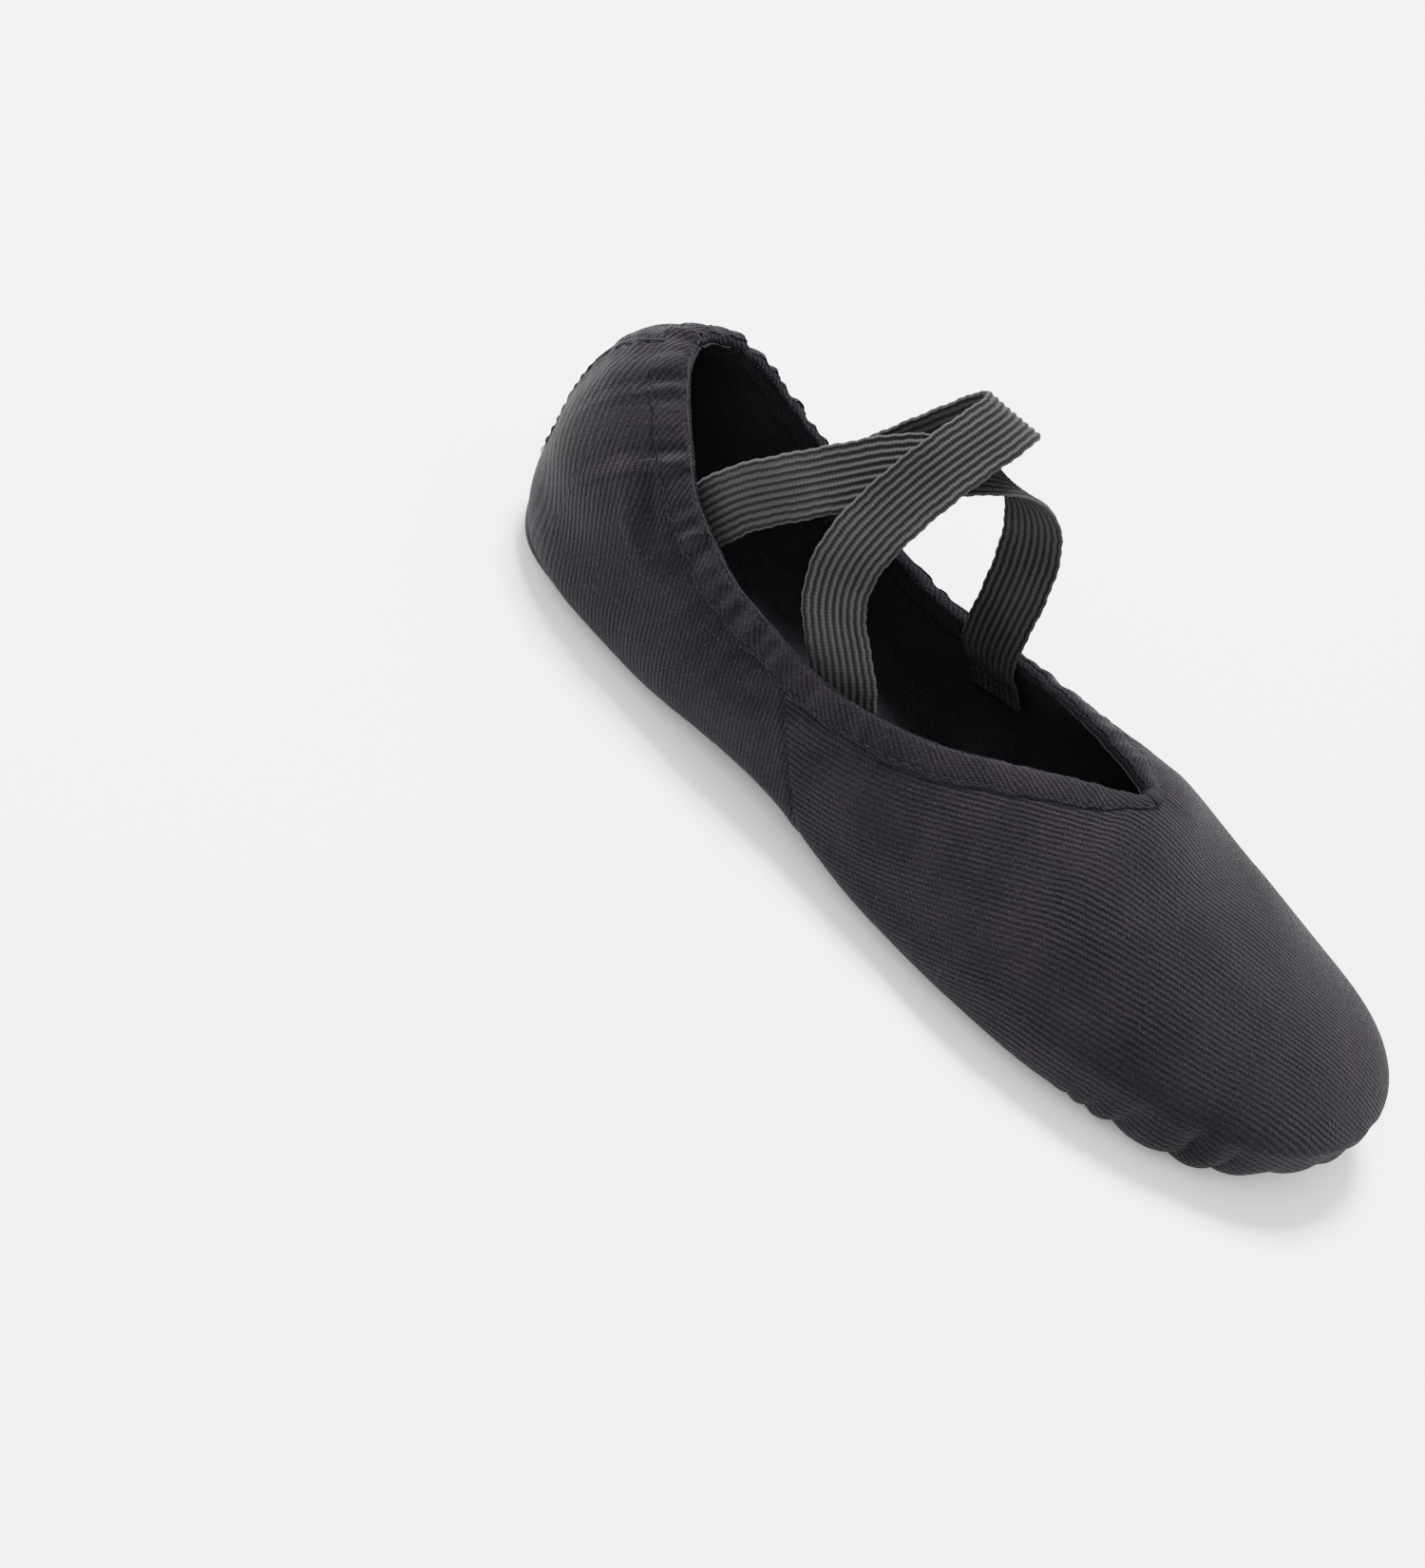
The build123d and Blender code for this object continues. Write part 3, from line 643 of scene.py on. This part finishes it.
def fold_profile():
    """(depth, lift, gather share) round the folded strip, from its inner to its outer edge."""
    inner = -(WALL + BINDING)
    rows = [(BINDING_DEPTH, -WALL + 0.1, 0)]
    rows += [(d, inner - 0.35 * np.sin(np.pi * d / BINDING_DEPTH), -0.25)
             for d in np.linspace(BINDING_DEPTH - 0.2, 1.2, 12)]
    middle, reach = (BINDING + inner) / 2, (BINDING - inner) / 2
    for a in np.linspace(0, np.pi, 11)[1:-1]:
        rows.append((1.2 - 1.2 * np.sin(a), middle - reach * np.cos(a), 0.25))
    rows += [(d, BINDING + 0.35 * np.sin(np.pi * min(d / 6.2, 1)), 0.55) for d in np.linspace(1.2, 6.1, 11)]
    rows += [(6.4, BINDING - 0.2, 0.45), (6.9, BINDING, 0.5), (7.3, BINDING - 0.1, 0.45),
             (BINDING_DEPTH, 0.0, 0.3)]
    return rows


def binding_piece():
    """The folded strip, as one closed ring of its profile."""
    rings, uv = [], []
    across = 0.0
    for depth, lift, share in fold_profile():
        ring, _ = band_at(depth, lift + share * RIM_GATHER)
        if rings:
            across += float(np.linalg.norm(ring - rings[-1], axis=-1).mean())
        rings.append(ring)
        uv.append(np.stack([RIM_RUN, np.full(RIM_COUNT, across)], -1))
    rings = warp(np.array(rings))
    index = np.arange(len(rings) * RIM_COUNT).reshape(len(rings), RIM_COUNT)
    quads = grid_faces(index, close_v=True)
    return make_object("topline_binding", rings.reshape(-1, 3), quads, np.array(uv).reshape(-1, 2))


binding = finish_piece(binding_piece(), canvas_binding,
                       ["topline_binding_rear", "topline_binding_front"])

outer_line, outer_out = band_at(6.5, BINDING - 0.05 + 0.45 * RIM_GATHER)
inner_line, inner_out = band_at(6.5, -(WALL + BINDING) - 0.1 - 0.25 * RIM_GATHER)
row_out = stitch_row(warp(outer_line), outer_out, closed=True)
row_in = stitch_row(warp(inner_line), -inner_out, closed=True)
binding_rows = make_object("topline_stitching", *join([row_out, row_in]))
finish_piece(binding_rows, thread, [])


def tube(points, radius, sides=12, closed=False):
    """Round cord along a line of points."""
    ahead = np.roll(points, -1, 0) - np.roll(points, 1, 0) if closed else np.gradient(points, axis=0)
    run = unit(ahead)
    side = unit(np.cross(run, [0.13, 0.21, 1.0]))
    over = np.cross(side, run)
    a = np.linspace(0, 2 * np.pi, sides, endpoint=False)
    spoke = side[:, None] * np.cos(a)[None, :, None] + over[:, None] * np.sin(a)[None, :, None]
    rings = points[:, None] + radius * spoke
    if not closed:
        return merge_rings(rings)
    index = np.arange(len(points) * sides).reshape(len(points), sides)
    return rings.reshape(-1, 3), grid_faces(index, close_u=True, close_v=True)


cord_line, _ = band_at(1.65, -1.0)
drawstring = make_object("topline_elastic", *tube(warp(cord_line)[::3], 0.85, closed=True))
finish_piece(drawstring, elastic, ["topline_elastic_rear", "topline_elastic_front"])

# Welt of the centre-back seam, with a row of stitches on each side.
welt = int(np.argmin(np.abs(RIM_RUN - SEAM_LEAN)))
welt_points, welt_out = march(RIM_S[[welt]], RIM_ANGLE[[welt]], RIM_TANGENT[[0]], 54)
welt_points, welt_out = welt_points[14:, 0], welt_out[14:, 0]
welt_parts = [tube(warp(welt_points + welt_out * 0.05), 0.55, 8)]
for shift in (-1.6, 1.6):
    beside_it = welt_points + welt_out * 0.3 + np.array([shift, 0, 0])
    welt_parts.append(stitch_row(warp(beside_it), welt_out, length=2.2))
back_seam = make_object("centre_back_seam", *join(welt_parts))
finish_piece(back_seam, thread, [])

tack_line, tack_out = band_at(3.2, BINDING + 0.55)
throat = int(np.argmin(np.abs(RIM_POINTS[:, 1] - (LENGTH / 2 - RIM_END))))
down = unit(BAND_POINTS[10, throat] - BAND_POINTS[0, throat])
tack_at = warp(tack_line[throat])
wraps = [capsule(tack_at + np.array([w, 0, 0]), down, tack_out[throat], 4.2, 0.26, 0.1 - abs(w) * 0.12)
         for w in np.linspace(-1.1, 1.1, 7)]
tack = make_object("throat_bar_tack", *join(wraps))
finish_piece(tack, thread, ["throat_tack"])


# ---------------------------------------------------------------- sole

def sole_surface(x, y, depth):
    """Points under the foot at plan positions, and their outward normals."""
    def height(px, py):
        s = (LENGTH / 2 - py - depth) / (1 - 2 * depth / LENGTH)
        middle, half, widest, _, below = section(s)
        q = np.minimum(np.abs(px - middle) / (half - depth), 0.999)
        return widest - (below - depth) * (1 - q ** LOWER_POWER) ** (1 / LOWER_POWER)
    e = 1e-2
    gx = (height(x + e, y) - height(x - e, y)) / (2 * e)
    gy = (height(x, y + e) - height(x, y - e)) / (2 * e)
    return np.stack([x, y, height(x, y)], -1), unit(np.stack([gx, gy, -np.ones_like(gx)], -1))


def closed_spline(points, count):
    """Smooth closed plan outline through points, evenly resampled."""
    p = np.array([(a, b, 0.0) for a, b in points])
    around = np.concatenate([p[-4:], p, p[:5]])
    return spline(around, count + 1, skip=4)[:-1, :2]


FRONT_LINE = closed_spline([(PATCH_X + v, PATCH_Y + u) for u, v in FRONT_SHAPE], 360)


def heel_outline():
    """Egg-shaped outline of the heel patch, blunter at the back."""
    points = []
    for a in np.linspace(0, 2 * np.pi, 40, endpoint=False):
        forward = HEEL_LONG * np.cos(a)
        middle = float(along(CENTRE_X, HEEL_CENTRE + forward)) + SHIFT_X
        aside = HEEL_WIDE * np.sin(a) * (1 - 0.08 * np.cos(a))
        points.append((middle + aside, LENGTH / 2 - HEEL_CENTRE - forward))
    return closed_spline(points, 280)


HEEL_LINE = heel_outline()


def drawn_in(line, inset):
    """An outline moved towards its middle by inset."""
    centre = line.mean(0)
    reach = np.linalg.norm(line - centre, axis=1, keepdims=True)
    return centre + (line - centre) * (1 - inset / reach)


def plate(name, line, outer, inner, groove, rounded):
    """Flat piece that follows the sole: its outer face, rolled edge and inner face."""
    centre = line.mean(0)
    reach = np.linalg.norm(line - centre, axis=1)
    inset = np.concatenate([[0, 0.15, 0.45, 0.9], np.arange(1.5, 5.1, 0.4), np.linspace(6, 33, 26)])
    rings = []
    for back in (False, True):
        for d in (inset if not back else inset[::-1]):
            t = np.clip(1 - d / reach, 0.02, 1)
            xy = centre + (line - centre) * t[:, None]
            drop = rounded * (1 - np.sqrt(1 - max(1 - d / rounded, 0) ** 2)) if d < rounded else 0
            dent = groove * np.exp(-((d - STITCH_INSET) / 0.7) ** 2)
            p, n = sole_surface(xy[:, 0], xy[:, 1], inner - drop * 0.3 if back else outer + drop + dent)
            if not back:
                ripple = 0.05 * np.sin(xy[:, 0] / 5.1 + 0.6) * np.sin(xy[:, 1] / 6.3) * min(d / 6, 1)
                p = p - n * ripple[:, None]
            rings.append(p)
    verts, faces = merge_rings(rings[:len(inset)][::-1] + rings[len(inset):][::-1])
    return make_object(name, verts, faces, verts[:, :2])


def sole_patch(name, line, node):
    piece = plate(name, line, -GAP - PATCH, -GAP, 0.45, 0.6)
    finish_piece(piece, suede, [node])


def patch_row(name, line, node):
    xy = drawn_in(line, STITCH_INSET)
    p, n = sole_surface(xy[:, 0], xy[:, 1], -GAP - PATCH + 0.28)
    row = make_object(name, *stitch_row(p, n, radius=0.24, closed=True))
    finish_piece(row, thread, [node])


def pad(name, line, node):
    piece = plate(name, drawn_in(line, 1.5), WALL + 0.05, WALL + PAD, 0.0, 0.9)
    finish_piece(piece, pad_cloth, [node])


sole_patch("front_patch", FRONT_LINE, "front_sole_patch")
sole_patch("heel_patch", HEEL_LINE, "heel_sole_patch")
patch_row("front_patch_thread", FRONT_LINE, "front_patch_stitching")
patch_row("heel_patch_thread", HEEL_LINE, "heel_patch_stitching")


pad("front_pad", FRONT_LINE, "front_insole_pad")
pad("heel_pad", HEEL_LINE, "heel_insole_pad")


def arch_strip():
    """Felled seam under the arch, with its two rows of thread."""
    s = np.linspace(51.5, 127.5, 150)
    middle = along(CENTRE_X, s) + SHIFT_X
    rings, rows = [], []
    for w, lift in [(-3, 0.05), (-3, -0.35), (-2.7, -0.55), (-2.2, -0.42), (-1.5, -0.6), (0, -0.66),
                    (1.5, -0.6), (2.2, -0.42), (2.7, -0.55), (3, -0.35), (3, 0.05)]:
        rings.append(sole_surface(middle + w, LENGTH / 2 - s, lift)[0])
    verts, faces = merge_rings(np.array(rings).transpose(1, 0, 2))
    for w in (-2.3, 2.3):
        rows.append(sole_surface(middle + w, LENGTH / 2 - s, -0.5))
    return (verts, faces), join([stitch_row(p, n) for p, n in rows])


strip, strip_rows = arch_strip()
seam_strip = make_object("arch_seam_strip", *strip, strip[0][:, :2])
finish_piece(seam_strip, canvas_binding, ["arch_seam_strip_rear", "arch_seam_strip_front"])
seam_rows = make_object("arch_seam_stitching", *strip_rows)
finish_piece(seam_rows, thread, [])


def back_tape():
    """Tape down the inside of the centre-back seam."""
    pick = np.concatenate([np.where(RIM_RUN > RIM_TOTAL - 5.2)[0], np.where(RIM_RUN < 5.2)[0]])
    p, n = march(RIM_S[pick], RIM_ANGLE[pick], np.broadcast_to(RIM_TANGENT[0], (len(pick), 3)), 40)
    outer = warp((p - n * (WALL + 0.1))[8:])
    inner = warp((p - n * (WALL + TAPE))[8:])
    return merge_rings(np.concatenate([outer, inner[:, ::-1]], 1))


tape_mesh = back_tape()
tape = make_object("back_seam_tape_inside", *tape_mesh, tape_mesh[0][:, [0, 2]])
finish_piece(tape, canvas_binding, ["back_seam_tape"])


# ---------------------------------------------------------------- straps

def strap_paths():
    """Middle lines of the two straps, each sewn inside the topline at both ends."""
    def free(points):
        return [np.array([x + SHIFT_X, LENGTH / 2 - s, z]) for x, s, z in points]
    under = [near_rim(42, -1, d, STRAP_INSET) for d in (18, 10, 3)]
    under += free([(-20.8, 45, 53), (-18.3, 51.6, 62), (-13, 60, 71), (-7, 67.5, 78), (-0.5, 75.3, 82.3),
                   (7.7, 84.7, 83.3), (14, 94.2, 77), (15.6, 99.7, 65.5), (13.6, 103, 52.5)])
    under += [near_rim(105, 1, d, STRAP_INSET) for d in (3, 10, 18)]
    over = [near_rim(95 - d / 4, -1, 18 - d, STRAP_INSET) for d in (0, 8, 15)]
    over += free([(-26, 83.5, 44), (-25.3, 76.8, 51.5), (-23.5, 73, 61.5), (-18, 73, 73), (-10.5, 75, 84),
                  (-1, 77.5, 92), (9.5, 79, 95.5), (17, 77, 90.5), (21, 72, 79), (22.5, 66, 66),
                  (23.3, 60, 53)])
    over += [near_rim(55, 1, d, STRAP_INSET) for d in (3, 7, 11)]
    return under, over


UNDER, OVER = strap_paths()


def strap_frames(path, s_start, s_end):
    """Points of a strap's middle line, with its directions along, across and out of its face."""
    count = 181
    line = spline(path, count)
    run = unit(np.gradient(line, axis=0))
    u = np.linspace(0, 1, count)
    sewn = np.maximum(1 - np.minimum(u, 1 - u) / 0.3, 0)[:, None]
    first, last = RIM_TANGENT[rim_index(s_start, -1)], -RIM_TANGENT[rim_index(s_end, 1)]
    ends = np.where(u[:, None] < 0.5, first, last)
    wide = np.array([[0, -1.0, 0]]) * (1 - sewn) + ends * sewn
    wide = unit(wide - run * (run * wide).sum(-1, keepdims=True))
    return line, run, wide, unit(np.cross(run, wide))


def strap_piece(name, path, s_start, s_end, node):
    """One ribbed strap, and the bars of stitches that hold its two ends."""
    line, run, wide, face = strap_frames(path, s_start, s_end)
    w = np.linspace(-STRAP_WIDTH / 2, STRAP_WIDTH / 2, 73)
    rib = 0.17 * np.cos(2 * np.pi * w / STRAP_WIDTH * STRAP_CORDS) - 0.3 * smooth(np.abs(w), 6.9, 7.5)
    length = arc_length(line)
    rings, uv = [], []
    for i in range(len(line)):
        edge = 0.12 * np.sin(length[i] * 2.1) + 0.1 * np.sin(length[i] * 0.7)
        scale = (STRAP_WIDTH / 2 + edge) / (STRAP_WIDTH / 2)
        half = (STRAP_THICK / 2 + rib)[:, None]
        front = line[i] + wide[i] * w[:, None] * scale + face[i] * half
        back = line[i] + wide[i] * w[::-1, None] * scale - face[i] * half[::-1]
        rings.append(np.concatenate([front, back]))
        uv.append(np.stack([np.full(2 * len(w), length[i]), np.concatenate([w, w[::-1]])], -1))
    verts, faces = merge_rings(rings)
    uv = np.concatenate([np.concatenate(uv), [uv[0][0], uv[-1][0]]])
    obj = make_object(name, verts, faces, uv)
    finish_piece(obj, elastic, [node])
    rows = []
    bars_at = np.array([2.0, 4.5, 7.0, 9.5])
    for at in (*bars_at, *(length[-1] - bars_at)):
        i = int(np.argmin(np.abs(length - at)))
        across = line[i] + wide[i] * np.linspace(-6.6, 6.6, 30)[:, None] + face[i] * (STRAP_THICK / 2 + 0.1)
        rows.append(stitch_row(across, np.broadcast_to(face[i], across.shape), 2.2, 1.7, 0.24))
    return obj, rows


under, under_rows = strap_piece("strap_under", UNDER, 42, 105, "instep_strap_under")
over, over_rows = strap_piece("strap_over", OVER, 91, 55, "instep_strap_over")
bars = make_object("strap_end_thread", *join(under_rows + over_rows))
finish_piece(bars, thread, ["strap_end_stitching"])


# ---------------------------------------------------------------- floor, light and camera

bpy.ops.mesh.primitive_plane_add(size=6)
floor = bpy.context.object
floor.name = "floor"
paper = bpy.data.materials.new("paper")
paper.use_nodes = True
paper_shader = paper.node_tree.nodes["Principled BSDF"]
paper_shader.inputs["Base Color"].default_value = (0.95, 0.95, 0.95, 1)
paper_shader.inputs["Roughness"].default_value = 0.9
floor.data.materials.append(paper)

world = bpy.data.worlds.new("studio")
world.use_nodes = True
sky = world.node_tree.nodes["Background"]
sky.inputs["Color"].default_value = (1, 1, 1, 1)
sky.inputs["Strength"].default_value = 2.0
bpy.context.scene.world = world


def area_light(name, location, target, size, power):
    data = bpy.data.lights.new(name, "AREA")
    data.size, data.energy = size, power
    lamp = bpy.data.objects.new(name, data)
    lamp.location = location
    lamp.rotation_euler = (Vector(target) - Vector(location)).to_track_quat("-Z", "Y").to_euler()
    bpy.context.scene.collection.objects.link(lamp)


LIT = (0, 0, 0.03)
area_light("key", (0.35, 0.5, 1.45), LIT, 0.5, 120)
area_light("fill", (-1.1, 0.2, 1.0), LIT, 0.8, 12)

camera_data = bpy.data.cameras.new("camera")
camera_data.sensor_width = 36.0
camera_data.sensor_fit = "HORIZONTAL"
camera_data.lens = 148.5
camera = bpy.data.objects.new("camera", camera_data)
# The camera's axes and its aim were fitted to the slipper's outline in the photo.
right, up = Vector((0.429, -0.757, 0.493)), Vector((0.422, 0.651, 0.631))
back = Vector((-0.798, -0.063, 0.599))
DISTANCE, AIM_RIGHT, AIM_UP = 1.3, -0.05735, -0.00422
target = Vector((SHIFT_X * MM, 0, 0.025))
camera.location = target + back * DISTANCE
aim = target + right * AIM_RIGHT + up * AIM_UP
away = (camera.location - aim).normalized()
level = (up - away * up.dot(away)).normalized()
turn = Matrix((level.cross(away), level, away)).transposed()
camera.rotation_euler = turn.to_euler()
bpy.context.scene.collection.objects.link(camera)
bpy.context.scene.camera = camera
